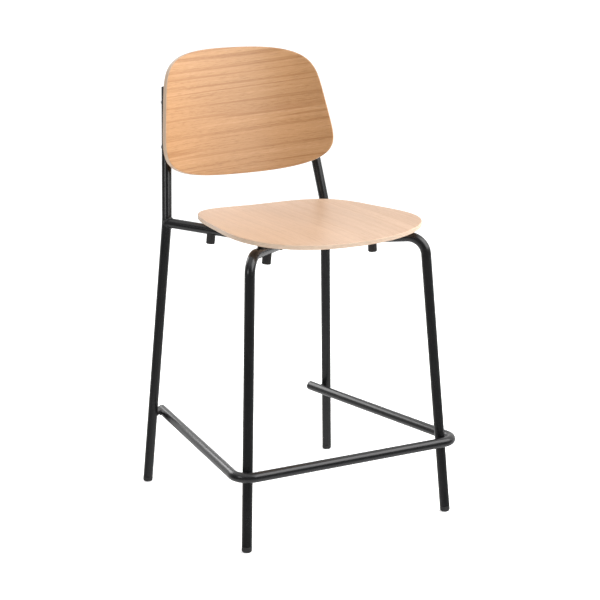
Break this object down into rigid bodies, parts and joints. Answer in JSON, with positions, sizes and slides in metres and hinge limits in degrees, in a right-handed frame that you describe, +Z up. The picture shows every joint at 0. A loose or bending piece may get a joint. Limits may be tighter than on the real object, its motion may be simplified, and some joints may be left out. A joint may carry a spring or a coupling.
{
  "type": "counter-height stool with footrest",
  "caption": "Counter-height stool: black bent-tube frame, dished oak-veneer plywood seat, curved plywood backrest and a U-shaped footrest open at the back.",
  "frame": {"origin": "on the floor, under the middle of the bounding box", "axes": "+Z up, the front of the stool faces -Y, +X is to the right as seen from in front"},
  "size_m": [0.554, 0.5626, 0.9882],
  "materials": {
    "frame_coating": "satin",
    "black_plastic": "matte",
    "seat_veneer": "satin",
    "backrest_veneer": "satin",
    "zinc_plate": "satin"
  },
  "bodies": {
    "root": {"left_side_tube": "frame_coating", "left_rear_leg_and_upright": "frame_coating", "right_side_tube": "frame_coating", "right_rear_leg_and_upright": "frame_coating", "front_cross_tube": "frame_coating", "rear_cross_tube": "frame_coating", "footrest_tube": "frame_coating", "left_footrest_stub": "frame_coating", "right_footrest_stub": "frame_coating", "front_left_glide": "black_plastic", "front_right_glide": "black_plastic", "rear_left_glide": "black_plastic", "rear_right_glide": "black_plastic", "left_upright_cap": "black_plastic", "left_footrest_plug": "black_plastic", "right_upright_cap": "black_plastic", "right_footrest_plug": "black_plastic", "seat_panel": "seat_veneer", "backrest_panel": "backrest_veneer", "seat_spacer_front_left": "black_plastic", "stacking_bumper_front_left": "black_plastic", "seat_screw_front_left": "zinc_plate", "seat_insert_front_left": "zinc_plate", "seat_spacer_front_right": "black_plastic", "stacking_bumper_front_right": "black_plastic", "seat_screw_front_right": "zinc_plate", "seat_insert_front_right": "zinc_plate", "seat_spacer_rear_left": "black_plastic", "stacking_bumper_rear_left": "black_plastic", "seat_screw_rear_left": "zinc_plate", "seat_insert_rear_left": "zinc_plate", "seat_spacer_rear_right": "black_plastic", "stacking_bumper_rear_right": "black_plastic", "seat_screw_rear_right": "zinc_plate", "seat_insert_rear_right": "zinc_plate", "front_left_support_pad": "black_plastic", "front_right_support_pad": "black_plastic", "backrest_spacer_lower_left": "black_plastic", "backrest_screw_lower_left": "zinc_plate", "backrest_insert_lower_left": "zinc_plate", "backrest_spacer_lower_right": "black_plastic", "backrest_screw_lower_right": "zinc_plate", "backrest_insert_lower_right": "zinc_plate", "backrest_spacer_upper_left": "black_plastic", "backrest_screw_upper_left": "zinc_plate", "backrest_insert_upper_left": "zinc_plate", "backrest_spacer_upper_right": "black_plastic", "backrest_screw_upper_right": "zinc_plate", "backrest_insert_upper_right": "zinc_plate"}
  },
  "joints": []
}
